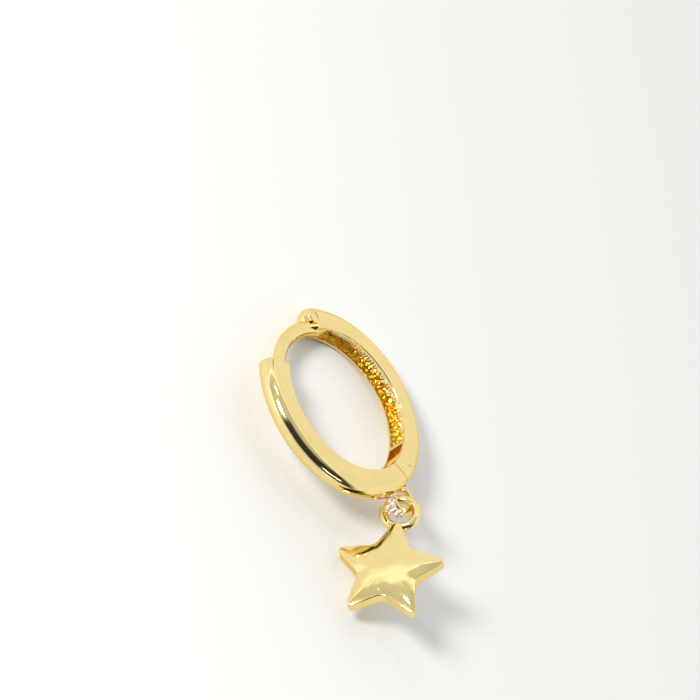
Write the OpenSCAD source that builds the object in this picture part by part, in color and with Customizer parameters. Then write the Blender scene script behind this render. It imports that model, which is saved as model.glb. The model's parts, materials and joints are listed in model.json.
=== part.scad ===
// Hinged hoop earring with a puffed star charm on an eye.
// It lies as it settles on a table, on the low rim of the hoop and on one point of the star.
// Lengths are in millimetres and angles in degrees, turning from +X towards +Y round the hoop's axis.

/* [Hoop] */
// Outside diameter of the hoop
hoop_d = 15; // [13:0.1:20]
// Thickness of the band along the hoop's radius
band_t = 1.9; // [1.75:0.05:2.6]
// Width of the band along the hoop's axis
band_w = 1.7; // [1.5:0.05:2.2]
// Angle of the open end of the front half, where the post snaps in
snap_a = 132; // [122:1:140]
// Angle of the tip of the back half, where the post leaves it
knob_a = 75; // [65:1:85]
// Angle between the hinge pin and the closed end of the front half's channel
front_stop = 27; // [24:1:40]
// Step by which the round tip of the back half stands in from the band's surface
knob_step = 0.05; // [0.04:0.01:0.1]
// Angle between the tip of the back half and the flat end of its inner side
knob_lip = 3.5; // [2.5:0.5:5]
// Angle between the tip of the back half and the closed end of its hollow
back_stop = 15; // [12:1:25]
// Width of the hollow inside the back half
hollow_w = 1.3; // [1.1:0.05:1.35]
// Wall left outside the hollow
hollow_wall = 0.75; // [0.7:0.05:0.9]

/* [Post] */
// Diameter of the ear post
post_d = 0.9; // [0.7:0.05:1]
// Clearance between the post and the channel that it snaps into
post_play = 0.05; // [0.04:0.01:0.1]
// Angle by which the post reaches into the front half
post_grip = 12; // [8:1:20]
// Depth of the post's surface behind the inside of the band
post_sink = 0.03; // [0.02:0.01:0.06]
// Depth by which the round tip of the back half reaches down over the post
post_cover = 0.2; // [0.1:0.05:0.3]

/* [Hinge] */
// Diameter of the hinge pin
pin_d = 0.45; // [0.35:0.05:0.5]
// Clearance round the pin in the tongue
pin_play = 0.03; // [0.02:0.01:0.05]
// Depth of the pin's axis under the outside of the band
pin_depth = 0.75; // [0.75:0.01:0.9]
// Angle of the hinge pin
pin_a = -76; // [-79:0.5:-74]
// Distance from the pin's axis to the seam between the halves
cheek_reach = 1; // [0.9:0.02:1.1]
// Radius of the tongue's round end
tongue_r = 0.5; // [0.45:0.01:0.55]
// Length of the tongue that is rooted in the front half
tongue_root = 0.15; // [0.1:0.01:0.2]
// Reach of the tongue past the pin along the inside of the band
tongue_lip = 0.42; // [0.3:0.02:0.44]
// Depth of the tongue behind the inside of the band
tongue_sink = 0.04; // [0.03:0.01:0.1]
// Distance of the pin's ends below the sides of the band
pin_sink = 0.07; // [0.05:0.01:0.12]
// Clearance between the tongue, the cheeks and the shoulders
hinge_play = 0.05; // [0.04:0.01:0.08]
// Angle between the pin and the crossbar that closes the hinge pocket
pocket_a = 18; // [16:1:26]
// Thickness of the crossbar between the pocket and the hollow
bar_t = 0.32; // [0.25:0.01:0.5]

/* [Eye] */
// Angle of the eye on the front half
eye_a = -91.5; // [-94:0.5:-91]
// Width of the hole in the eye
eye_hole = 1.4; // [1.3:0.05:1.8]
// Thickness of the eye's wire
eye_wire = 0.5; // [0.4:0.05:0.55]
// Diameter of the solder beads on the eye
solder_d = 0.76; // [0.6:0.02:0.8]

/* [Star] */
// Reach of the star's points from its centre
star_r = 3.9; // [3.2:0.1:5]
// Distance from the star's centre to the notches between its points
star_notch = 2.17; // [1.6:0.01:2.6]
// Thickness of the star at its edge
star_edge = 1; // [0.8:0.05:1.4]
// Height of the dome on the star's face
star_dome = 0.45; // [0.2:0.05:0.7]
// Radius that rounds the star's points and rims
star_round = 0.3; // [0.2:0.02:0.38]
// Width of the hole in the star's ring
ring_hole = 1.6; // [1.5:0.05:2.2]
// Thickness of the ring's wire
ring_wire = 0.7; // [0.5:0.05:0.75]
// Depth to which the ring is sunk in the star's top point
ring_bite = 0.54; // [0.3:0.02:0.6]
// Height of the ring's plane above the star's back
ring_level = 0.5; // [0.4:0.05:0.6]

/* [Lay] */
// Direction in which the star lies from the eye
star_side = -143; // [-150:1:-130]
// Angle by which the star droops below the hoop's plane
star_droop = 11; // [5:1:15]
// Height at which the near side of the star's ring passes the middle of the eye
ring_rise = 0.08; // [0:0.02:0.12]
// Clearance between the eye and the star's ring
link_gap = 0.05; // [0.04:0.01:0.1]
// Clearance between the star's ring and the band
ring_gap = 0.08; // [0.06:0.01:0.2]
// Direction of the side on which the hoop is raised
raised_side = -142; // [-160:1:-120]

/* [Hidden] */
$fn = 64;
past = 1;
gold = [0.93, 0.79, 0.44];
pale_gold = [0.95, 0.84, 0.55];
wire_sides = 32;
bead_sides = 24;

outer_r = hoop_d / 2;
inner_r = outer_r - band_t;
mid_z = band_w / 2;
dome_r = outer_r - mid_z;
tip_r = mid_z - knob_step;
knob_mid = knob_a - tip_r / dome_r * 180 / PI;
knob_base = knob_mid - knob_step / outer_r * 180 / PI;

channel_w = post_d + 2 * post_play;
post_r = inner_r + post_sink + post_d / 2;
channel_r = post_r + post_d / 2 + post_play;

pin_r = outer_r - pin_depth;
cheek_r = cheek_reach + hinge_play / 5;
tongue_w = channel_w - 2 * hinge_play;
hollow_r = outer_r - hollow_wall;
cover_r = post_r + post_d / 2 - post_cover;
bar_a = pin_a + pocket_a;
cheek_span = 2 * cheek_reach / inner_r * 180 / PI;
bar_span = bar_t / inner_r * 180 / PI;
pocket_start = tongue_r / pin_r * 180 / PI;

eye_r = (eye_hole + eye_wire) / 2;
ring_r = (ring_hole + ring_wire) / 2;
star_hang = star_r + ring_r + ring_wire / 2 - ring_bite;
point_r = star_r - star_round;
dome_ball_r = (star_r * star_r + star_dome * star_dome) / (2 * star_dome);
point_tuck = star_round / 8;
points = 5;
point_step = 360 / points;

// Turns a point of the star's own frame into the hoop's frame, for a roll about the star's long axis
function roll_y(p, a) = [p.x * cos(a) + p.z * sin(a), p.y, p.z * cos(a) - p.x * sin(a)];
function turn_x(p, a) = [p.x, p.y * cos(a) - p.z * sin(a), p.y * sin(a) + p.z * cos(a)];
function turn_z(p, a) = [p.x * cos(a) - p.y * sin(a), p.x * sin(a) + p.y * cos(a), p.z];
function star_turn(p, roll) = turn_z(turn_x(roll_y(p, roll), star_droop), star_side + 90);

// Points of the ring's middle line, seen from the eye's centre, through which its near side passes
steps = 90;
function ring_line(roll) = [for (i = [0 : steps - 1]) let (t = 360 * i / steps)
    star_turn([ring_r * cos(t), ring_r * sin(t) - ring_r, 0], roll) + [0, 0, ring_rise]];
function eye_clear(p) = norm([norm([p.x, p.y]) - eye_r, p.z]) - (eye_wire + ring_wire) / 2;
function link_clear(roll) = min([for (p = ring_line(roll)) eye_clear(p)]);

// The star rolls towards the hoop's plane until the two rings jam, link_gap apart
halvings = 18;
function jam_roll(free, stuck, n) = n == 0 ? free : let (m = (free + stuck) / 2)
    link_clear(m) >= link_gap ? jam_roll(m, stuck, n - 1) : jam_roll(free, m, n - 1);
star_roll = jam_roll(-90, 0, halvings);

// The eye stands out just far enough for the ring to clear the band by ring_gap
jammed_ring = ring_line(star_roll);
function eye_at(reach) = [reach * cos(eye_a), reach * sin(eye_a), mid_z];
function band_clear(p) = norm([norm([p.x, p.y]) - dome_r, p.z - mid_z]) - mid_z - ring_wire / 2;
function reach_clear(reach) = min([for (p = jammed_ring) band_clear(p + eye_at(reach))]);
function least_reach(near, far, n) = n == 0 ? far : let (m = (near + far) / 2)
    reach_clear(m) >= ring_gap ? least_reach(near, m, n - 1) : least_reach(m, far, n - 1);
eye_reach = least_reach(outer_r, outer_r + 3 * ring_wire, halvings);
eye_c = eye_at(eye_reach);

// Centres of the balls that round the star's points, and of balls along its ring, in the hoop's frame
function star_place(p) = eye_c + [0, 0, ring_rise]
    + star_turn(p - [0, ring_r + star_hang, ring_level], star_roll);
tip_balls = [for (k = [0 : points - 1], h = [star_round, star_edge - star_round])
    star_place([-point_r * sin(k * point_step), point_r * cos(k * point_step), h])];
ring_balls = [for (p = jammed_ring) p + eye_c];

// Angle at which a ball comes down to the plane that carries the low rim, and the largest of them
raised = [cos(raised_side), sin(raised_side), 0];
function settle(c, r) = let (a = c * raised + dome_r, b = c.z - mid_z)
    asin((r - mid_z) / norm([a, b])) - atan2(b, a);
lean = max(0, max([for (c = tip_balls) settle(c, star_round)]),
    max([for (c = ring_balls) settle(c, ring_wire / 2)]));
lift = dome_r * sin(lean) - mid_z * cos(lean) + mid_z;

// Reach of the laid earring along the table, from which the middle of its box is found
function lay_turn(p) = turn_z(lean_y(turn_z(p, -raised_side)), raised_side);
function lean_y(p) = [p.x * cos(lean) - p.z * sin(lean), p.y, p.x * sin(lean) + p.z * cos(lean)];
hoop_mid = lay_turn([0, 0, mid_z]);
laid_tips = [for (c = tip_balls) lay_turn(c)];
laid_ring = [for (c = ring_balls) lay_turn(c)];
hoop_axis = lay_turn([0, 0, 1]);
function hoop_reach(i) = dome_r * sqrt(1 - hoop_axis[i] * hoop_axis[i]) + mid_z;
function high(i) = max(hoop_mid[i] + hoop_reach(i), max([for (c = laid_tips) c[i]]) + star_round,
    max([for (c = laid_ring) c[i]]) + ring_wire / 2);
function low(i) = min(hoop_mid[i] - hoop_reach(i), min([for (c = laid_tips) c[i]]) - star_round,
    min([for (c = laid_ring) c[i]]) - ring_wire / 2);
middle = [(high(0) + low(0)) / 2, (high(1) + low(1)) / 2, -lift];

// Sets a piece that is built round the hoop's axis down on the table
module laid() {
    translate(-middle) rotate([0, 0, raised_side]) rotate([0, -lean, 0]) rotate([0, 0, -raised_side])
        children();
}

// Stretch of a ring, from one angle to another
module arc(from, to) {
    rotate_extrude(start = from, angle = to - from) children();
}

// Section of the band, flat sided inside and domed outside
module band_section() {
    translate([inner_r, 0]) square([dome_r - inner_r, band_w]);
    translate([dome_r, mid_z]) intersection() {
        circle(d = band_w);
        translate([0, -band_w]) square([band_w, 2 * band_w]);
    }
}

// Half of the round tip's section, from its middle line outwards, with the radius upwards
module tip_section() {
    translate([0, cover_r - knob_step]) square([tip_r, dome_r - cover_r + knob_step]);
    translate([0, dome_r]) intersection() {
        circle(r = tip_r);
        square(band_w);
    }
}

// Channel along the inside of the band
module channel(from, to, width, floor_r) {
    arc(from, to) translate([inner_r - past, mid_z - width / 2])
        square([floor_r - inner_r + past, width]);
}

// Puts a shape at the hinge pin, with +X outwards and +Y towards the back half
module at_pin() {
    rotate([0, 0, pin_a]) translate([pin_r, 0, mid_z]) children();
}

// Hole through the width of the band for the hinge pin
module pin_hole(d) {
    at_pin() cylinder(d = d, h = band_w + 2 * past, center = true);
}

// Tongue of the front half, rounded about the pin and reaching in to the inside of the band
module tongue() {
    root = cheek_reach + hinge_play + tongue_root;
    depth = pin_r - inner_r - tongue_sink;
    at_pin() {
        cylinder(r = tongue_r, h = tongue_w, center = true);
        translate([-depth, -root, -tongue_w / 2]) cube([depth, root + tongue_lip, tongue_w]);
        translate([0, -root, -tongue_w / 2]) cube([tongue_r, root, tongue_w]);
    }
}

// Ring of wire sunk in the band, with the beads of solder that hold it
module eye() {
    translate(eye_c) {
        rotate_extrude() translate([eye_r, 0]) circle(d = eye_wire, $fn = wire_sides);
        bead(eye_a - 120, solder_d);
        bead(eye_a - 102, 0.8 * solder_d);
        bead(eye_a + 122, 0.7 * solder_d);
    }
}

// Bead of solder on the eye's wire, raised towards its outer and upper sides
module bead(at, d) {
    rotate([0, 0, at]) translate([eye_r + eye_wire / 4, 0, eye_wire / 4]) rotate([90, 0, 0])
        sphere(d = d, $fn = bead_sides);
}

module front_half() {
    color(gold) laid() {
        difference() {
            union() {
                difference() {
                    arc(snap_a, pin_a + 360) band_section();
                    channel(snap_a - past, pin_a - front_stop + 360, channel_w, channel_r);
                    at_pin() translate([-band_t - past, -cheek_reach - hinge_play, -band_w])
                        cube([2 * (band_t + past), cheek_reach + hinge_play + past, 2 * band_w]);
                }
                tongue();
            }
            pin_hole(pin_d + 2 * pin_play);
        }
        eye();
    }
}

module back_half() {
    color(pale_gold) laid() {
        difference() {
            knob_band();
            channel(bar_a + bar_span / 2, knob_a - back_stop, hollow_w, hollow_r);
            channel(pin_a + pocket_start, bar_a - bar_span / 2, hollow_w, hollow_r);
            seam_cut();
            hinge_slot();
            cheek_round();
            pin_hole(pin_d);
        }
        post();
    }
}

// Band of the back half, whose outer side ends in a round tip over the post
module knob_band() {
    rotate([0, 0, knob_base]) mirror([0, 1, 0])
        rotate_extrude(angle = knob_base - pin_a + cheek_span) band_section();
    rotate([0, 0, knob_mid]) translate([0, 0, mid_z]) rotate([0, 90, 0]) rotate_extrude() tip_section();
    arc(knob_base - past, knob_a - knob_lip) translate([inner_r, 0]) square([cover_r - inner_r, band_w]);
}

// Plane at which the back half ends against the front half's shoulders
module seam_cut() {
    at_pin() translate([-band_t - past, -cheek_reach - band_t, -band_w])
        cube([2 * (band_t + past), band_t, 2 * band_w]);
}

// Slot between the cheeks that the tongue turns in, open on both sides of the band
module hinge_slot() {
    at_pin() translate([-band_t - past, -cheek_reach - past, -channel_w / 2])
        cube([2 * (band_t + past), cheek_reach + past + tongue_r + hinge_play, channel_w]);
}

// Outer corner that the cheeks lose so that they turn clear of the shoulders
module cheek_round() {
    at_pin() difference() {
        translate([0, -cheek_r - past, -band_w]) cube([band_t + past, cheek_r + past, 2 * band_w]);
        cylinder(r = cheek_r, h = 3 * band_w, center = true);
    }
}

// Ear post, from its round tip inside the front half back to the solid tip of the back half
module post() {
    span = snap_a + post_grip - (knob_base + knob_a - back_stop) / 2;
    rotate([0, 0, snap_a + post_grip]) mirror([0, 1, 0]) translate([0, 0, mid_z]) {
        rotate_extrude(angle = span) translate([post_r, 0]) circle(d = post_d);
        translate([post_r, 0, 0]) rotate([90, 0, 0]) rotate_extrude() intersection() {
            circle(d = post_d);
            square(post_d);
        }
    }
}

module hinge_pin() {
    color(gold) laid() at_pin() cylinder(d = pin_d, h = band_w - 2 * pin_sink, center = true);
}

// Outline of the star, each point running into the ball that rounds it
module star_outline() {
    tip = [star_round - point_tuck, point_r - point_tuck];
    notch = star_notch * [-sin(point_step / 2), cos(point_step / 2)];
    polygon([for (k = [0 : points - 1], p = [tip, [-tip.x, tip.y], notch])
        let (q = turn_z([p.x, p.y, 0], k * point_step)) [q.x, q.y]]);
}

// Star with a flat back and a domed face
module star() {
    intersection() {
        linear_extrude(height = star_edge + star_dome) star_outline();
        translate([0, 0, star_edge + star_dome - dome_ball_r]) sphere(r = dome_ball_r);
    }
    for (k = [0 : points - 1]) rotate([0, 0, k * point_step]) translate([0, point_r, 0]) rounded_tip();
}

// Upright with a ball at each end, which rounds a point of the star
module rounded_tip() {
    rotate_extrude($fn = wire_sides) {
        translate([0, star_round]) square([star_round, star_edge - 2 * star_round]);
        translate([0, star_edge - star_round]) intersection() {
            circle(r = star_round);
            square(star_round);
        }
        translate([0, star_round]) intersection() {
            circle(r = star_round);
            translate([0, -star_round]) square(star_round);
        }
    }
}

// Star with its ring, placed so that the ring's near side runs through the middle of the eye
module star_charm() {
    color(gold) laid() translate(eye_c + [0, 0, ring_rise]) rotate([0, 0, star_side + 90])
        rotate([star_droop, 0, 0]) rotate([0, star_roll, 0])
        translate([0, -ring_r - star_hang, -ring_level]) {
            star();
            translate([0, star_hang, ring_level]) rotate_extrude() translate([ring_r, 0])
                circle(d = ring_wire, $fn = wire_sides);
        }
}

front_half();
back_half();
hinge_pin();
star_charm();
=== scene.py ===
# Hinged hoop earring with a puffed star charm, lying on a pale table
import json
import math

import bmesh
import bpy
from mathutils import Matrix, Vector


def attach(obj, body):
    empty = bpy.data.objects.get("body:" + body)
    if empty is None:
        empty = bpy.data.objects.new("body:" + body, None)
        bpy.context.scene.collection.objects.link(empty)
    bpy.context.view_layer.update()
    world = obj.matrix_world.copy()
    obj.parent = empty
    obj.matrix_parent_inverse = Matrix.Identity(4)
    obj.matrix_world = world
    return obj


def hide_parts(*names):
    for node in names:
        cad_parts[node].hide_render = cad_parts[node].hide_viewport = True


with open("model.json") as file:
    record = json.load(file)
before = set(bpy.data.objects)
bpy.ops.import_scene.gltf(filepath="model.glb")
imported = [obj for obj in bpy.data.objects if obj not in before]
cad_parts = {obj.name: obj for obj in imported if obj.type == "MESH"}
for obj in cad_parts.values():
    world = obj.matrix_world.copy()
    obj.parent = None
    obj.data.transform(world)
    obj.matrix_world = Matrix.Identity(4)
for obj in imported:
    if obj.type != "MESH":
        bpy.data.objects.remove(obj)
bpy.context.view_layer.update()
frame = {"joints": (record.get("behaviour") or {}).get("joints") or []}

MM = 0.001

# Sizes of the hoop in millimetres, as its solids have them
HOOP_R = 7.5
BAND_THICKNESS = 1.9
BAND_WIDTH = 1.7
INNER_R = HOOP_R - BAND_THICKNESS
MID = BAND_WIDTH / 2
DOME_R = HOOP_R - MID

# The two halves: their ends in degrees round the hoop, and what is hollow in them
SNAP_END = 132
FRONT_CHANNEL_END = 257
KNOB_ANGLE = 75
KNOB_RADIUS = 0.8
KNOB_MID = KNOB_ANGLE - math.degrees(KNOB_RADIUS / DOME_R)
KNOB_LIP_END = 71.5
HOLLOW_START = 60
HOLLOW_WIDTH = 1.3
HOLLOW_FLOOR = 6.75

# The ear post, and the channel that takes its tip
POST_RADIUS = 0.45
POST_INSET = 0.03
POST_LINE = INNER_R + POST_INSET + POST_RADIUS
POST_TIP = 144
POST_ROOT = 64
CHANNEL_WIDTH = 1.0
CHANNEL_PLAY = 0.05
CHANNEL_FLOOR = POST_LINE + POST_RADIUS + CHANNEL_PLAY
COVER_LAP = 0.2
COVER_R = POST_LINE + POST_RADIUS - COVER_LAP

# The hinge: a tongue of the front half between two cheeks of the back half
PIN_ANGLE = -76
PIN_DEPTH = 0.75
PIN_LINE = HOOP_R - PIN_DEPTH
PIN_RADIUS = 0.225
PIN_PLAY = 0.03
PIN_SINK = 0.02
CHEEK_REACH = 1.0
CHEEK_ROUND = 1.01
HINGE_PLAY = 0.05
TONGUE_RADIUS = 0.5
TONGUE_WIDTH = 0.9
TONGUE_LIP = 0.42
TONGUE_SINK = 0.04
TONGUE_LAP = 0.15
POCKET_START = PIN_ANGLE + math.degrees(TONGUE_RADIUS / PIN_LINE)
BAR_ANGLE = -58
BAR_THICKNESS = 0.32
BAR_SPAN = math.degrees(BAR_THICKNESS / INNER_R)

# The eye, the ring and the star
EYE_ANGLE = -91.5
EYE_REACH = 8.132
EYE_R = 0.95
EYE_WIRE = 0.25
RING_R = 1.15
RING_WIRE = 0.35
RING_RISE = 0.08
RING_LEVEL = 0.5
RING_LAP = 0.54
STAR_R = 3.9
STAR_NOTCH = 2.17
STAR_EDGE = 1.0
STAR_HANG = STAR_R + RING_R + RING_WIRE - RING_LAP
STAR_SIDE = -143
STAR_DROOP = 11
STAR_ROLL = -47.385

# The hoop's own frame: the hinge pin is parallel to its axis, at a known angle of the hoop
hinge = frame["joints"][0]
turn = Vector((0, 0, 1)).rotation_difference(-Vector(hinge["axis"])).to_matrix().to_4x4()


def round_hoop(radius, angle, height):
    """Point of the hoop's frame at a radius, an angle and a height along its axis"""
    a = math.radians(angle)
    return Vector((radius * math.cos(a), radius * math.sin(a), height))


def along_hoop(angle):
    """Direction in which the band runs at an angle"""
    return round_hoop(1, angle, 0).cross(Vector((0, 0, 1)))


def turned(angle, axis):
    """Turn about an axis, as a matrix"""
    return Matrix.Rotation(math.radians(angle), 4, axis)


pin_point = round_hoop(PIN_LINE, PIN_ANGLE, MID) * MM
HOOP = Matrix.Translation(Vector(hinge["pos_m"]) - turn @ pin_point) @ turn @ Matrix.Scale(MM, 4)

eye_point = round_hoop(EYE_REACH, EYE_ANGLE, MID)
star_turn = turned(STAR_SIDE + 90, "Z") @ turned(STAR_DROOP, "X") @ turned(STAR_ROLL, "Y")
STAR = HOOP @ Matrix.Translation(eye_point + Vector((0, 0, RING_RISE))) @ star_turn
STAR = STAR @ Matrix.Translation((0, -RING_R - STAR_HANG, -RING_LEVEL))

# Camera, at the photo's angle to the hoop, its axes given in the hoop's frame
CAMERA_RIGHT = Vector((0.466, -0.551, 0.692))
CAMERA_BACK = Vector((-0.830, 0, 0.558))
LENS = 200
SENSOR = 36
NEAREST_SEEN = 0.01
IMAGE = 700
PIXELS_PER_MM = 14.14
HOOP_PIXEL = (340.1, 403.4)


def add_camera():
    """Camera that looks at the hoop from the photo's side, so far off that its size matches"""
    back = CAMERA_BACK.normalized()
    right = (CAMERA_RIGHT - CAMERA_RIGHT.dot(back) * back).normalized()
    up = back.cross(right)
    half = IMAGE / 2
    aim = Vector((0, 0, MID)) + right * (half - HOOP_PIXEL[0]) / PIXELS_PER_MM
    aim += up * (HOOP_PIXEL[1] - half) / PIXELS_PER_MM
    place = Matrix((right, up, back)).transposed().to_4x4()
    place.translation = aim + back * LENS / SENSOR * IMAGE / PIXELS_PER_MM
    bpy.ops.object.camera_add()
    camera = bpy.context.object
    location, rotation, _ = (HOOP @ place).decompose()
    camera.location = location
    camera.rotation_euler = rotation.to_euler()
    camera.data.lens = LENS
    camera.data.sensor_width = SENSOR
    camera.data.clip_start = NEAREST_SEEN
    bpy.context.scene.camera = camera


add_camera()


# Distances in millimetres below which points are one, or lie on the same plane
HAIR = 0.001
CLOSE = 0.01
MERGE = 0.0005
BEVEL_MERGE = 0.003

# How far a cutting tool reaches past what it cuts: a little, well out and well in
PAST = 1
OVER = 2
DEEP = 3

# Fineness of round forms, and roundings that the solids leave out
SWEEP_STEP = 1.0
BAR_STEP = 1.5
ROUND_SIDES = 48
CHEEK_SIDES = 96
DOME_SEGMENTS = 14
RIM = 0.1
RIM_SEGMENTS = 4
CUT_ROUND = 0.04
PIN_ROUND = 0.05
SHARP_ANGLE = math.radians(50)
SMOOTH_ANGLE = math.radians(40)


# Helpers for modelling: pieces are shaped in millimetres and then set in place in metres
def drop_selection():
    bpy.ops.object.select_all(action="DESELECT")


def take(piece):
    """Selects one piece and nothing else"""
    drop_selection()
    bpy.context.view_layer.objects.active = piece
    piece.select_set(True)


def named(name):
    """The piece that was just added, with its name"""
    piece = bpy.context.object
    piece.name = name
    return piece


def fix_place():
    """Puts the place, turn and size of the selected piece into its mesh"""
    bpy.ops.object.transform_apply(location=True, rotation=True, scale=True)


def edit(piece):
    """Opens one piece in edit mode with nothing selected"""
    take(piece)
    bpy.ops.object.mode_set(mode="EDIT")
    bpy.ops.mesh.select_all(action="DESELECT")


def done():
    bpy.ops.object.mode_set(mode="OBJECT")


def pick(what, test):
    """Selects the vertices, edges or faces whose middle passes a test, and nothing else"""
    bpy.ops.mesh.select_all(action="DESELECT")
    bpy.ops.mesh.select_mode(type=what)
    mesh = bmesh.from_edit_mesh(bpy.context.object.data)
    groups = {"VERT": mesh.verts, "EDGE": mesh.edges, "FACE": mesh.faces}
    for part in groups[what]:
        if what == "VERT":
            middle = part.co
        elif what == "EDGE":
            middle = (part.verts[0].co + part.verts[1].co) / 2
        else:
            middle = part.calc_center_median()
        if test(middle):
            part.select_set(True)
    mesh.select_flush_mode()
    bmesh.update_edit_mesh(bpy.context.object.data)


def tidy_mesh():
    """Merges doubles and turns every face outwards"""
    bpy.ops.mesh.select_all(action="SELECT")
    bpy.ops.mesh.remove_doubles(threshold=MERGE)
    bpy.ops.mesh.normals_make_consistent(inside=False)
    bpy.ops.mesh.select_all(action="DESELECT")


def use(piece, kind, **settings):
    """Adds a modifier to a piece, sets it and applies it"""
    take(piece)
    step = piece.modifiers.new("step", kind)
    for key, value in settings.items():
        setattr(step, key, value)
    bpy.ops.object.modifier_apply(modifier=step.name)


def cut(piece, tool):
    use(piece, "BOOLEAN", operation="DIFFERENCE", solver="EXACT", object=tool)
    bpy.data.objects.remove(tool)


def weld(piece, other):
    use(piece, "BOOLEAN", operation="UNION", solver="EXACT", object=other)
    bpy.data.objects.remove(other)


def section(name, low_r, high_r, width, angle):
    """Flat rectangle across the band at one angle, from one radius to another"""
    drop_selection()
    size = high_r - low_r
    spot = ((low_r + high_r) / 2, 0, MID)
    bpy.ops.mesh.primitive_plane_add(size=size, location=spot, rotation=(math.radians(90), 0, 0))
    piece = named(name)
    piece.scale = (1, width / size, 1)
    fix_place()
    piece.rotation_euler.z = math.radians(angle)
    fix_place()
    return piece


def sweep(piece, span, step=SWEEP_STEP):
    """Carries a flat section round the hoop's axis, with a ring of edges at each step"""
    edit(piece)
    bpy.ops.mesh.select_all(action="SELECT")
    steps = max(1, round(abs(span) / step))
    bpy.ops.mesh.spin(steps=steps, angle=-math.radians(span), center=(0, 0, 0), axis=(0, 0, 1))
    tidy_mesh()
    done()


def radius(p):
    return math.hypot(p.x, p.y)


def degrees_round(p):
    """Angle of a place round the hoop, or round the star"""
    return math.degrees(math.atan2(p.y, p.x))


def band(name, start, span):
    """Stretch of band, flat sided inside and domed outside, with softened inner rims"""
    piece = section(name, INNER_R, HOOP_R, BAND_WIDTH, start)
    edit(piece)
    pick("VERT", lambda p: radius(p) > DOME_R)
    bpy.ops.mesh.bevel(affect="VERTICES", offset=MID - HAIR, segments=DOME_SEGMENTS, profile=0.5)
    pick("VERT", lambda p: radius(p) < INNER_R + RIM)
    bpy.ops.mesh.bevel(affect="VERTICES", offset=RIM, segments=RIM_SEGMENTS, profile=0.5)
    bpy.ops.mesh.select_all(action="SELECT")
    bpy.ops.mesh.remove_doubles(threshold=BEVEL_MERGE)
    done()
    sweep(piece, span)
    return piece


def channel_bar(name, floor, width, start, span):
    """Bar bent round the hoop that cuts a channel into the band's inside, down to its floor"""
    piece = section(name, INNER_R - PAST, floor, width, start)
    sweep(piece, span, BAR_STEP)
    return piece


def block(name, low, high):
    """Box between two corners of the hinge pin's frame, with X outwards and Y towards the back half"""
    drop_selection()
    low = Vector(low)
    high = Vector(high)
    bpy.ops.mesh.primitive_cube_add(size=1)
    piece = named(name)
    middle = Matrix.Translation(Vector((PIN_LINE, 0, MID)) + (low + high) / 2)
    piece.matrix_world = turned(PIN_ANGLE, "Z") @ middle @ Matrix.Diagonal((*(high - low), 1))
    fix_place()
    return piece


def rod(name, r, length, sides=ROUND_SIDES):
    """Round rod along the hinge pin's axis"""
    drop_selection()
    spot = round_hoop(PIN_LINE, PIN_ANGLE, MID)
    bpy.ops.mesh.primitive_cylinder_add(vertices=sides, radius=r, depth=length, location=spot)
    piece = named(name)
    fix_place()
    return piece


def wire_ring(name, r, wire, spot):
    """Closed ring of round wire"""
    drop_selection()
    bpy.ops.mesh.primitive_torus_add(major_radius=r, minor_radius=wire, location=spot,
                                     major_segments=96, minor_segments=32)
    piece = named(name)
    fix_place()
    return piece


def soften(piece, width=CUT_ROUND, segments=2):
    """Rounds the rims that the cuts have left"""
    use(piece, "BEVEL", width=width, segments=segments, limit_method="ANGLE",
        angle_limit=SHARP_ANGLE, use_clamp_overlap=True, loop_slide=True, miter_outer="MITER_ARC")


def finish_piece(piece, place, body, node, material):
    """Shades a piece, flat where it is flat, sets it down in its place, gives it its material, hangs it
    on its body and hides the solid it stands for
    """
    take(piece)
    bpy.ops.object.shade_smooth_by_angle(angle=SMOOTH_ANGLE)
    use(piece, "WEIGHTED_NORMAL", keep_sharp=True, weight=100)
    piece.matrix_world = place @ piece.matrix_world
    fix_place()
    piece.data.materials.append(material)
    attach(piece, body)
    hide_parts(node)


class Flow:
    """Shader maths: a number on its way through the nodes, with the usual operators"""

    def __init__(self, sheet, socket):
        self.sheet = sheet
        self.socket = socket

    def maths(self, operation, *others):
        values = dict(enumerate((self, *others)))
        return self.sheet.node("ShaderNodeMath", {"operation": operation}, values)

    def __add__(self, other):
        return self.maths("ADD", other)

    def __sub__(self, other):
        return self.maths("SUBTRACT", other)

    def __rsub__(self, other):
        return self.maths("MULTIPLY_ADD", -1, other)

    def __mul__(self, other):
        return self.maths("MULTIPLY", other)

    def __truediv__(self, other):
        return self.maths("DIVIDE", other)

    def __rtruediv__(self, other):
        return self.maths("POWER", -1) * other

    __radd__ = __add__
    __rmul__ = __mul__

    def between(self, low, high, start=0, end=1):
        """Smooth step from one value to another while this one goes from low to high"""
        settings = {"interpolation_type": "SMOOTHSTEP"}
        values = {"Value": self, "From Min": low, "From Max": high, "To Min": start, "To Max": end}
        return self.sheet.node("ShaderNodeMapRange", settings, values, "Result")


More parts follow.
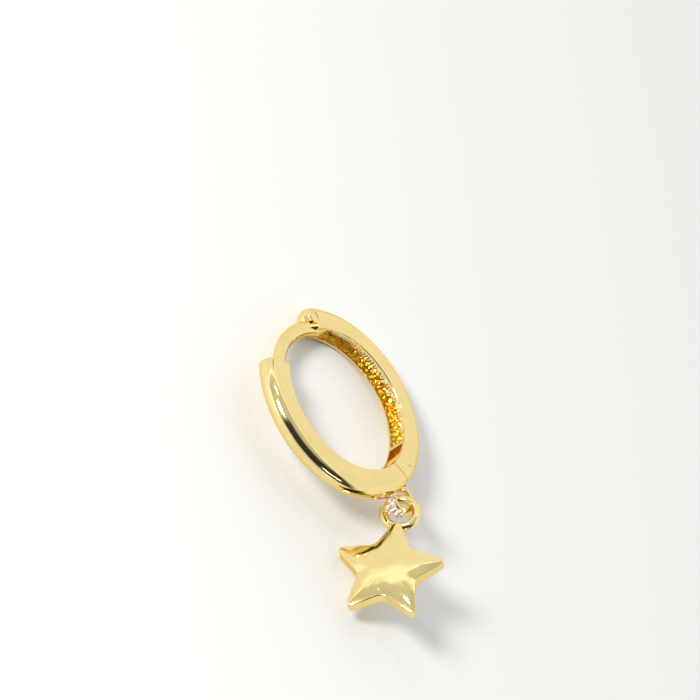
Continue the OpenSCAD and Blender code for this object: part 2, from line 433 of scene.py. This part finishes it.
class Sheet:
    """Node tree of a material or of the world"""

    def __init__(self, owner):
        owner.use_nodes = True
        self.tree = owner.node_tree

    def node(self, kind, settings=None, values=None, output=0):
        """New node, with its settings made first and then the values or links of its sockets"""
        made = self.tree.nodes.new(kind)
        for key, value in (settings or {}).items():
            setattr(made, key, value)
        for key, value in (values or {}).items():
            self.feed(made.inputs[key], value)
        return Flow(self, made.outputs[output])

    def feed(self, socket, value):
        if isinstance(value, Flow):
            self.tree.links.new(value.socket, socket)
        else:
            socket.default_value = value

    def blend(self, share, first, second):
        """Mix of two colours"""
        values = {"Factor": share, "A": (*first, 1), "B": (*second, 1)}
        return self.node("ShaderNodeMix", {"data_type": "RGBA"}, values, "Result")

    def noise(self, spot, detail, spread=0.5):
        """Soft noise that stays with the piece, its spots a number of millimetres wide"""
        place = self.node("ShaderNodeTexCoord", output="Object")
        values = {"Vector": place, "Scale": 1 / (spot * MM), "Detail": detail, "Roughness": spread}
        return self.node("ShaderNodeTexNoise", None, values)

    def bump(self, pattern, height, strength, below=None):
        """Surface relief from a pattern, of a height in millimetres, over another relief"""
        values = {"Strength": strength, "Distance": height * MM, "Height": pattern}
        if below:
            values["Normal"] = below
        return self.node("ShaderNodeBump", None, values, "Normal")


# The metals: sizes of spots and heights in millimetres
TONE_SPOT = 2.2
TONE_RANGE = (0.35, 0.7)
GLOSS_RANGE = (0.35, 0.75)
WAVE_SPOT = 1.8
WAVE_HEIGHT = 0.03
# Edge tint of the metals, made warm: partly the metal's own edge colour, partly painted reflection of
# warm light along the outlines
EDGE_TINT_AND_PAINTED_REFLECTION = (1, 0.8, 0.42, 1)


def metal(name, colour, deep, gloss, grain, height, strength):
    """Metal whose colour, gloss and grain vary a little from place to place, over faint waves"""
    material = bpy.data.materials.new(name)
    sheet = Sheet(material)
    shader = sheet.tree.nodes["Principled BSDF"]
    tone = sheet.noise(TONE_SPOT, 2)
    fine = sheet.noise(grain, 4, 0.6)
    sheet.feed(shader.inputs["Base Color"], sheet.blend(tone.between(*TONE_RANGE), colour, deep))
    shader.inputs["Metallic"].default_value = 1
    # The warm edge tint paints the saturated reflection along the outlines
    shader.inputs["Specular Tint"].default_value = EDGE_TINT_AND_PAINTED_REFLECTION
    smooth, change = gloss
    sheet.feed(shader.inputs["Roughness"], smooth + fine.between(*GLOSS_RANGE) * change)
    waved = sheet.bump(sheet.noise(WAVE_SPOT, 1), WAVE_HEIGHT, 1)
    sheet.feed(shader.inputs["Normal"], sheet.bump(fine, height, strength, waved))
    return material


polished = metal("polished_gold", colour=(0.9, 0.735, 0.345), deep=(0.885, 0.705, 0.305),
                 gloss=(0.06, 0.06), grain=0.12, height=0.002, strength=0.35)
# Cast gold: rough as cast, and its deeper orange is painted reflection of gold on gold, for the hollow
# and the hinge pocket
cast = metal("cast_gold_painted_reflection", colour=(1, 0.76, 0.24), deep=(0.97, 0.62, 0.12),
             gloss=(0.15, 0.2), grain=0.07, height=0.02, strength=0.9)
# Pale, rough gold for the beads: rough to spread the lamps' light, and its near-white colour is painted
# glint
bright = metal("bead_gold_painted_glint", colour=(1, 0.93, 0.74), deep=(0.97, 0.8, 0.48),
               gloss=(0.26, 0.1), grain=0.1, height=0.004, strength=0.5)
solder_metal = metal("solder", colour=(0.97, 0.89, 0.81), deep=(0.74, 0.57, 0.43),
                     gloss=(0.16, 0.25), grain=0.1, height=0.02, strength=1)


# Slit at the snap, between the dome and the flat side, running out almost to a point
SLIT_R = 7.13
SLIT_WIDTH = 0.14
SLIT_DEPTH = 0.3
SLIT_SPAN = 10
SLIT_LAP = 1
SLIT_STEPS = 4
SLIT_POINT = 0.3


def snap_slit():
    """Wedge that cuts the slit into the upper side of the band"""
    start = SNAP_END - SLIT_LAP
    slit = section("slit", SLIT_R - SLIT_WIDTH / 2, SLIT_R + SLIT_WIDTH / 2, 2 * SLIT_DEPTH, start)
    sweep(slit, SLIT_SPAN, SLIT_SPAN / SLIT_STEPS)
    edit(slit)
    for step in range(1, SLIT_STEPS + 1):
        spot = round_hoop(SLIT_R, start + step * SLIT_SPAN / SLIT_STEPS, MID)
        pick("VERT", lambda p: (p - spot).length < SLIT_DEPTH + SLIT_WIDTH)
        share = 1 - step / (SLIT_STEPS + SLIT_POINT)
        bpy.ops.transform.resize(value=(share, share, 1), center_override=spot)
    bpy.ops.mesh.select_all(action="SELECT")
    bpy.ops.transform.translate(value=(0, 0, MID))
    done()
    return slit


# Cast metal, rough and painted a deeper orange as reflection of gold on gold, is left bare in the
# pocket of the hinge, and lines the hollow, sunk a little into its walls
LINING_SINK = 0.06
POCKET_LOW = -90
WALL_MARGIN = 0.02


def leave_cast(half):
    """Leaves what lies in the pocket of the hinge as rough as it was cast, in gold painted a deeper
    orange as reflection of gold on gold
    """
    to_hoop = HOOP.inverted()

    def inside(place):
        p = to_hoop @ place
        deep = INNER_R + RIM < radius(p) < HOLLOW_FLOOR + LINING_SINK
        within = abs(p.z - MID) < HOLLOW_WIDTH / 2 + WALL_MARGIN
        return deep and within and POCKET_LOW < degrees_round(p) < BAR_ANGLE

    half.data.materials.append(cast)
    edit(half)
    pick("FACE", inside)
    half.active_material_index = 1
    bpy.ops.object.material_slot_assign()
    done()


# Open end of the front half: rounded off outside, with the channel run out past it
SNAP_ROUND = 0.36
SNAP_ROUND_FROM = DOME_R - 0.2
CHANNEL_LAP = 5
ROOT_LAP = 0.1


def make_front_half():
    """Half that the post snaps into, with the tongue of the hinge"""
    half = band("front_band", SNAP_END, 360 + PIN_ANGLE - SNAP_END)
    edit(half)
    snap = along_hoop(SNAP_END)
    pick("EDGE", lambda p: abs(p.dot(snap)) < CLOSE and radius(p) > SNAP_ROUND_FROM)
    bpy.ops.mesh.bevel(offset=SNAP_ROUND, segments=5, affect="EDGES", clamp_overlap=True)
    tidy_mesh()
    done()
    start = SNAP_END - CHANNEL_LAP
    cut(half, channel_bar("channel", CHANNEL_FLOOR, CHANNEL_WIDTH, start, FRONT_CHANNEL_END - start))
    seam = CHEEK_REACH + HINGE_PLAY
    cut(half, block("shoulder", (-DEEP, -seam, -OVER), (OVER, PAST, OVER)))
    depth = PIN_LINE - INNER_R - TONGUE_SINK
    foot = -seam - TONGUE_LAP
    side = TONGUE_WIDTH / 2
    tongue = block("tongue", (-depth, foot, -side), (0, TONGUE_LIP, side))
    weld(tongue, block("root", (-ROOT_LAP, foot, -side), (TONGUE_RADIUS, 0, side)))
    weld(tongue, rod("round", TONGUE_RADIUS, TONGUE_WIDTH))
    weld(half, tongue)
    cut(half, snap_slit())
    soften(half)
    cut(half, rod("bore", PIN_RADIUS + PIN_PLAY, DEEP))
    finish_piece(half, HOOP, "front", "front_half", polished)
    leave_cast(half)


# How far the band of the back half runs on under the knob, and its lip back into the band
KNOB_LAP = 0.4
LIP_LAP = 1


def make_back_half():
    """Hollow half, with a crossbar over the hinge pocket, two cheeks and a lip under the knob"""
    lowest = PIN_ANGLE - 2 * math.degrees(CHEEK_REACH / INNER_R)
    half = band("back_band", KNOB_MID - KNOB_LAP, lowest - KNOB_MID + KNOB_LAP)
    cut(half, channel_bar("hollow", HOLLOW_FLOOR, HOLLOW_WIDTH, BAR_ANGLE + BAR_SPAN / 2,
                          HOLLOW_START - BAR_ANGLE - BAR_SPAN / 2))
    cut(half, channel_bar("pocket", HOLLOW_FLOOR, HOLLOW_WIDTH, POCKET_START,
                          BAR_ANGLE - BAR_SPAN / 2 - POCKET_START))
    cut(half, block("seam", (-DEEP, -CHEEK_REACH - DEEP, -OVER), (OVER, -CHEEK_REACH, OVER)))
    cut(half, block("slot", (-DEEP, -CHEEK_REACH - PAST, -CHANNEL_WIDTH / 2),
                    (OVER, TONGUE_RADIUS + HINGE_PLAY, CHANNEL_WIDTH / 2)))
    corner = block("corner", (0, -DEEP, -OVER), (DEEP, 0, OVER))
    cut(corner, rod("cheek", CHEEK_ROUND, DEEP + OVER, CHEEK_SIDES))
    cut(half, corner)
    lip = section("lip", INNER_R, COVER_R, BAND_WIDTH, KNOB_MID - LIP_LAP)
    sweep(lip, KNOB_LIP_END - KNOB_MID + LIP_LAP)
    weld(half, lip)
    soften(half)
    cut(half, rod("bore", PIN_RADIUS, DEEP))
    finish_piece(half, HOOP, "back", "back_half", polished)
    leave_cast(half)


# How far the knob's stem goes into what lies below it
KNOB_SINK = 0.05


def make_knob():
    """Round knob over the root of the post: a short stem with a ball's top"""
    drop_selection()
    bpy.ops.mesh.primitive_uv_sphere_add(segments=64, ring_count=32, radius=KNOB_RADIUS)
    knob = named("knob")
    edit(knob)
    pick("FACE", lambda p: p.z < 0)
    bpy.ops.mesh.delete(type="FACE")
    pick("EDGE", lambda p: abs(p.z) < HAIR)
    stem = (0, 0, COVER_R - DOME_R - KNOB_SINK)
    bpy.ops.mesh.extrude_region_move(TRANSFORM_OT_translate={"value": stem})
    bpy.ops.mesh.edge_face_add()
    tidy_mesh()
    done()
    knob.matrix_world = turned(KNOB_MID, "Z") @ Matrix.Translation((DOME_R, 0, MID)) @ turned(90, "Y")
    finish_piece(knob, HOOP, "back", "back_half", polished)


# Thicker root of the post, and the angle from which it has its whole thickness
POST_SWELL = 0.12
SWELL_FULL = 85
TIP_ROUND = 0.9


def make_post():
    """Bare ear post, from its round tip in the front half back to its thicker root under the knob"""
    drop_selection()
    bpy.ops.mesh.primitive_circle_add(vertices=ROUND_SIDES, radius=POST_RADIUS, fill_type="NGON",
                                      location=(POST_LINE, 0, MID), rotation=(math.radians(90), 0, 0))
    post = named("ear_post")
    fix_place()
    post.rotation_euler.z = math.radians(POST_ROOT)
    fix_place()
    sweep(post, POST_TIP - POST_ROOT)
    edit(post)
    tip = along_hoop(POST_TIP)
    pick("EDGE", lambda p: abs(p.dot(tip)) < HAIR)
    bpy.ops.mesh.bevel(offset=POST_RADIUS * TIP_ROUND, segments=8, affect="EDGES")
    bpy.ops.mesh.select_all(action="SELECT")
    share = (POST_LINE - POST_SWELL) / POST_LINE
    bpy.ops.transform.resize(value=(share, share, 1), center_override=(0, 0, 0))
    done()
    swell = post.vertex_groups.new(name="swell")
    for corner in post.data.vertices:
        grown = (POST_TIP - degrees_round(corner.co)) / (POST_TIP - SWELL_FULL)
        swell.add([corner.index], max(0, min(1, grown)) ** 2, "REPLACE")
    use(post, "DISPLACE", strength=POST_SWELL, mid_level=0, direction="NORMAL", vertex_group="swell")
    finish_piece(post, HOOP, "back", "back_half", polished)


def make_pin():
    """Hinge pin, its ends a little below the band's sides and rounded over"""
    pin = rod("hinge_rivet", PIN_RADIUS, BAND_WIDTH - 2 * PIN_SINK)
    soften(pin, PIN_ROUND, 3)
    finish_piece(pin, HOOP, "back", "hinge_pin", polished)


# The eye's foot: how much it is spread, and how far it reaches, in radii of its wire
FOOT_SPREAD = 1.3
FOOT_SPAN = 1.2


def make_eye():
    """Ring under the band, its wire spread where it is joined to the band"""
    eye = wire_ring("eye", EYE_R, EYE_WIRE, eye_point)
    foot = eye_point + round_hoop(EYE_R, EYE_ANGLE + 180, 0)
    edit(eye)
    pick("VERT", lambda p: (p - foot).length < EYE_WIRE * FOOT_SPAN)
    bpy.ops.transform.resize(value=(FOOT_SPREAD, FOOT_SPREAD, FOOT_SPREAD), center_override=foot,
                             use_proportional_edit=True, proportional_edit_falloff="SMOOTH",
                             proportional_size=EYE_R)
    done()
    finish_piece(eye, HOOP, "front", "front_half", polished)


# Star: an outline with soft notches, walls below it and a domed face with rounded shoulders
POINT_TO_NOTCH = 36
POINT_TO_POINT = 72
SIDE_MIDDLE = (8, 24)
STAR_SHARP = STAR_R + 0.37
STAR_CORNER = 0.7
NOTCH_SHARP = STAR_NOTCH - 0.05
NOTCH_CORNER = 0.4
SIDE_CUTS = 9
FACE_RINGS = 36
FACE_DOME = 0.3
SHOULDER = 0.8
SHOULDER_DROP = 0.08
SMOOTH_FROM = 0.22
SMOOTH_TIMES = 14
RIM_ROUND = 0.1
BACK_ROUND = 0.25


def off_point(p):
    """Angle of a place from the nearest point of the star, the first of which is along Y"""
    off = (degrees_round(p) - 90) % POINT_TO_POINT
    return min(off, POINT_TO_POINT - off)


def inside_side(p):
    """Distance of a place on the star from the nearest of its sides, all equally far from its middle"""
    span = math.radians(POINT_TO_NOTCH)
    product = STAR_SHARP * NOTCH_SHARP
    length = math.sqrt(STAR_SHARP ** 2 + NOTCH_SHARP ** 2 - 2 * product * math.cos(span))
    from_middle = product * math.sin(span) / length
    lean = math.asin(from_middle / STAR_SHARP)
    return from_middle - radius(p) * math.sin(lean + math.radians(off_point(p)))


def make_star():
    """Puffed star, with the ring that is soldered to its top point"""
    drop_selection()
    bpy.ops.mesh.primitive_circle_add(vertices=10, radius=STAR_SHARP, fill_type="NGON")
    star = named("star")
    edit(star)
    pick("VERT", lambda p: off_point(p) > POINT_TO_NOTCH - 1)
    share = NOTCH_SHARP / STAR_SHARP
    bpy.ops.transform.resize(value=(share, share, 1), center_override=(0, 0, 0))
    bpy.ops.mesh.bevel(affect="VERTICES", offset=NOTCH_CORNER, segments=8, profile=0.5)
    pick("VERT", lambda p: off_point(p) < 1)
    bpy.ops.mesh.bevel(affect="VERTICES", offset=STAR_CORNER, segments=10, profile=0.5)
    pick("EDGE", lambda p: SIDE_MIDDLE[0] < off_point(p) < SIDE_MIDDLE[1])
    bpy.ops.mesh.subdivide(number_cuts=SIDE_CUTS)
    # The walls rise from the back, and the face is drawn in from their rim, ring by ring
    bpy.ops.mesh.select_all(action="SELECT")
    bpy.ops.mesh.extrude_region_move(TRANSFORM_OT_translate={"value": (0, 0, STAR_EDGE)})
    for ring in range(1, FACE_RINGS):
        step = (FACE_RINGS - ring) / (FACE_RINGS - ring + 1)
        bpy.ops.mesh.extrude_region_move()
        bpy.ops.transform.resize(value=(step, step, 1), center_override=(0, 0, STAR_EDGE))
    bpy.ops.mesh.poke()
    tidy_mesh()
    done()
    # The face is cast on a large ball, and its shoulders are then let down
    face = star.vertex_groups.new(name="face")
    shoulders = star.vertex_groups.new(name="shoulders")
    for corner in star.data.vertices:
        if corner.co.z > STAR_EDGE / 2:
            fall = max(0, 1 - inside_side(corner.co) / SHOULDER)
            face.add([corner.index], 1, "REPLACE")
            shoulders.add([corner.index], fall ** 2, "REPLACE")
    ball = (STAR_R ** 2 + FACE_DOME ** 2) / (2 * FACE_DOME)
    bpy.ops.object.empty_add(location=(0, 0, STAR_EDGE + FACE_DOME - ball))
    middle = bpy.context.object
    use(star, "CAST", cast_type="SPHERE", factor=1, size=ball, radius=0, use_radius_as_size=False,
        object=middle, vertex_group="face")
    bpy.data.objects.remove(middle)
    use(star, "DISPLACE", direction="Z", strength=-SHOULDER_DROP, mid_level=0, vertex_group="shoulders")
    edit(star)
    pick("VERT", lambda p: p.z > STAR_EDGE / 2 and inside_side(p) > SMOOTH_FROM)
    bpy.ops.mesh.vertices_smooth(factor=0.5, repeat=SMOOTH_TIMES, xaxis=False, yaxis=False, zaxis=True)
    pick("EDGE", lambda p: p.z < HAIR)
    bpy.ops.mesh.bevel(offset=BACK_ROUND, segments=5, affect="EDGES", clamp_overlap=True)
    tidy_mesh()
    done()
    use(star, "BEVEL", width=RIM_ROUND, segments=4, limit_method="ANGLE", angle_limit=SHARP_ANGLE)
    weld(star, wire_ring("star_ring", RING_R, RING_WIRE, (0, STAR_HANG, RING_LEVEL)))
    finish_piece(star, STAR, "front", "star_charm", polished)


# Solder: rough grains melted together down one side of the eye, and two small ones on the other
SOLDER_LUMPS = (
    {"angle": -140, "size": 0.45, "lift": 0.2, "rise": 0.05},
    {"angle": -118, "size": 0.68, "lift": 0.28, "rise": 0.05},
    {"angle": -90, "size": 0.86, "lift": 0.42, "rise": -0.22},
    {"angle": -62, "size": 0.66, "lift": 0.33, "rise": -0.05},
    {"angle": 98, "size": 0.4, "lift": 0.08, "rise": 0.1},
    {"angle": 122, "size": 0.5, "lift": 0.12, "rise": 0.12},
)
SOLDER_FINENESS = 0.022
SOLDER_GRAIN = 0.15
SOLDER_ROUGH = 0.3


def make_solder():
    lumps = []
    for lump in SOLDER_LUMPS:
        spot = eye_point + round_hoop(EYE_R + lump["lift"], EYE_ANGLE + lump["angle"], lump["rise"])
        drop_selection()
        bpy.ops.mesh.primitive_ico_sphere_add(subdivisions=3, radius=lump["size"] / 2, location=spot)
        lumps.append(bpy.context.object)
        fix_place()
    for lump in lumps:
        lump.select_set(True)
    bpy.context.view_layer.objects.active = lumps[0]
    bpy.ops.object.join()
    solder = named("solder")
    use(solder, "REMESH", mode="VOXEL", voxel_size=SOLDER_FINENESS)
    grain = bpy.data.textures.new("solder_grain", "CLOUDS")
    grain.noise_scale = SOLDER_GRAIN
    grain.noise_depth = 1
    use(solder, "DISPLACE", texture=grain, strength=SOLDER_ROUGH, mid_level=0.5, direction="NORMAL")
    use(solder, "SMOOTH", factor=0.5, iterations=2)
    finish_piece(solder, HOOP, "front", "front_half", solder_metal)


# Inside of the hollow: a rough cast floor, and a row of tiny beads under its near edge
LINING_START = HOLLOW_START - 2
LINING_END = BAR_ANGLE + 5
LINING_THICKNESS = 0.14
LINING_CUTS = 30
LINING_STEP = 0.36
GRAIN_SIZE = 0.27
GRAIN_HEIGHT = 0.24
GRAIN_LEVEL = 0.2


def make_lining():
    low = HOLLOW_FLOOR - LINING_THICKNESS
    high = HOLLOW_FLOOR + LINING_SINK
    lining = section("cast_floor", low, high, HOLLOW_WIDTH + 2 * LINING_SINK, LINING_START)
    edit(lining)
    pick("EDGE", lambda p: abs(p.z - MID) < CLOSE)
    bpy.ops.mesh.subdivide(number_cuts=LINING_CUTS)
    done()
    sweep(lining, LINING_END - LINING_START, LINING_STEP)
    rough = lining.vertex_groups.new(name="rough")
    for corner in lining.data.vertices:
        if radius(corner.co) < low + CLOSE:
            rough.add([corner.index], 1, "REPLACE")
    grain = bpy.data.textures.new("cast_grain", "VORONOI")
    grain.noise_scale = GRAIN_SIZE
    use(lining, "DISPLACE", texture=grain, strength=-GRAIN_HEIGHT, mid_level=GRAIN_LEVEL,
        direction="NORMAL", vertex_group="rough")
    # The lining's deeper orange is painted reflection of gold on gold
    finish_piece(lining, HOOP, "back", "back_half", cast)


BEAD_R = 0.08
BEAD_LENGTH = 2.3
BEAD_REACH = INNER_R + 0.1
BEAD_LEVEL = MID + HOLLOW_WIDTH / 2 - 0.15
BEAD_SINK = 0.02
BEAD_STEP = 2.35
BEAD_START = 52
BEAD_COUNT = 43


def make_beads():
    """Row of long beads, one modelled and the others copied round the hoop"""
    drop_selection()
    spot = (BEAD_REACH, 0, BEAD_LEVEL)
    bpy.ops.mesh.primitive_ico_sphere_add(subdivisions=3, radius=BEAD_R, location=spot)
    bead = bpy.context.object
    fix_place()
    edit(bead)
    bpy.ops.mesh.select_all(action="SELECT")
    bpy.ops.transform.resize(value=(1, 1, BEAD_LENGTH), center_override=spot)
    # Its end is cut flat where it stands in the wall of the hollow
    wall = MID + HOLLOW_WIDTH / 2 + BEAD_SINK
    bpy.ops.mesh.bisect(plane_co=(0, 0, wall), plane_no=(0, 0, 1), clear_outer=True, use_fill=True)
    done()
    for k in range(BEAD_COUNT):
        copy = bead.copy()
        copy.data = bead.data.copy()
        copy.rotation_euler.z = math.radians(BEAD_START - k * BEAD_STEP)
        bpy.context.collection.objects.link(copy)
        copy.select_set(True)
    bpy.context.view_layer.objects.active = copy
    bpy.data.objects.remove(bead)
    fix_place()
    bpy.ops.object.join()
    # The beads' near-white colour is painted glint
    finish_piece(named("edge_beads"), HOOP, "back", "back_half", bright)


make_front_half()
make_back_half()
make_knob()
make_post()
make_pin()
make_eye()
make_star()
make_solder()
make_lining()
make_beads()


# The table: plain, pale and matt
TABLE_SIZE = 2
TABLE_COLOUR = (0.86, 0.855, 0.84, 1)
TABLE_ROUGHNESS = 0.6


def make_table():
    drop_selection()
    bpy.ops.mesh.primitive_plane_add(size=TABLE_SIZE)
    table = named("table")
    paper = bpy.data.materials.new("white_paper")
    shader = Sheet(paper).tree.nodes["Principled BSDF"]
    shader.inputs["Base Color"].default_value = TABLE_COLOUR
    shader.inputs["Roughness"].default_value = TABLE_ROUGHNESS
    table.data.materials.append(paper)


# Studio: a bright tent, with a wide dimmer patch round the camera and a dark card beside it
TENT_GLOW = 0.98
TENT_COLOUR = (1, 0.995, 0.985, 1)
CLOUD_SCALE = 2.2
CLOUD_STRENGTH = 0.35
PATCH_REACH = 62
PATCH_GLOW = 0.66
PATCH_FADE = 0.05
PATCH_RIM = 0.4
RIM_OUTER = 0.07
RIM_INNER = 0.04
DARK_AZIMUTH = 214
DARK_SIDES = (0.5, 0.7)
DARK_FOOT = (0.03, 0.07)
DARK_TOP = 60
DARK_TOP_FADE = (-0.14, 0.1)
DARK_STRENGTH = 0.94
LEAST_LEVEL = 0.05
LAMP_DISTANCE = 0.3
LAMPS = (
    {"name": "window", "azimuth": 148, "elevation": 29, "width": 0.06, "height": 0.06, "glow": 62},
    {"name": "spark", "azimuth": 120, "elevation": 46, "width": 0.016, "height": 0.035, "glow": 30},
    {"name": "strip", "azimuth": -122, "elevation": 21, "width": 0.12, "height": 0.014, "glow": 9},
)


def heading(azimuth, elevation):
    """Direction in the world from an azimuth and an elevation round the hoop"""
    a = math.radians(azimuth)
    e = math.radians(elevation)
    flat = Vector((math.cos(a) * math.cos(e), math.sin(a) * math.cos(e), math.sin(e)))
    return turn.to_3x3() @ flat


def add_lamp(name, azimuth, elevation, width, height, glow):
    """Flat lamp of a given brightness that faces the hoop"""
    way = heading(azimuth, elevation)
    bpy.ops.object.light_add(type="AREA", location=way * LAMP_DISTANCE)
    light = named(name)
    light.rotation_euler = way.to_track_quat("Z", "Y").to_euler()
    light.data.shape = "RECTANGLE"
    light.data.size = width
    light.data.size_y = height
    light.data.energy = glow * math.pi * width * height


def make_studio():
    world = bpy.data.worlds.new("studio")
    bpy.context.scene.world = world
    sheet = Sheet(world)
    looking = sheet.node("ShaderNodeTexCoord", output="Generated")

    def along(way):
        values = {0: looking, 1: way}
        return sheet.node("ShaderNodeVectorMath", {"operation": "DOT_PRODUCT"}, values, "Value")

    rise = along(heading(0, 90))
    near = along((turn.to_3x3() @ CAMERA_BACK).normalized())
    side = along(heading(DARK_AZIMUTH, 0))
    level = (1 - rise * rise).maths("SQRT")
    facing = side / level.maths("MAXIMUM", LEAST_LEVEL)
    top = math.sin(math.radians(DARK_TOP))
    under = rise.between(top + DARK_TOP_FADE[0], top + DARK_TOP_FADE[1], 1, 0)
    dark = facing.between(*DARK_SIDES) * rise.between(*DARK_FOOT) * under
    reach = math.cos(math.radians(PATCH_REACH))
    patch = near.between(reach, reach + PATCH_FADE)
    rim = near.between(reach - RIM_OUTER, reach) * near.between(reach, reach + RIM_INNER, 1, 0)
    values = {"Vector": looking, "Scale": CLOUD_SCALE, "Detail": 2}
    clouds = (sheet.node("ShaderNodeTexNoise", None, values) - 0.5) * CLOUD_STRENGTH
    glow = TENT_GLOW + rim * PATCH_RIM - patch * (TENT_GLOW - PATCH_GLOW) + clouds
    backdrop = sheet.tree.nodes["Background"]
    sheet.feed(backdrop.inputs["Strength"], glow * (1 - dark * DARK_STRENGTH))
    backdrop.inputs["Color"].default_value = TENT_COLOUR
    for settings in LAMPS:
        add_lamp(**settings)


make_table()
make_studio()
bpy.context.scene.view_settings.view_transform = "Standard"
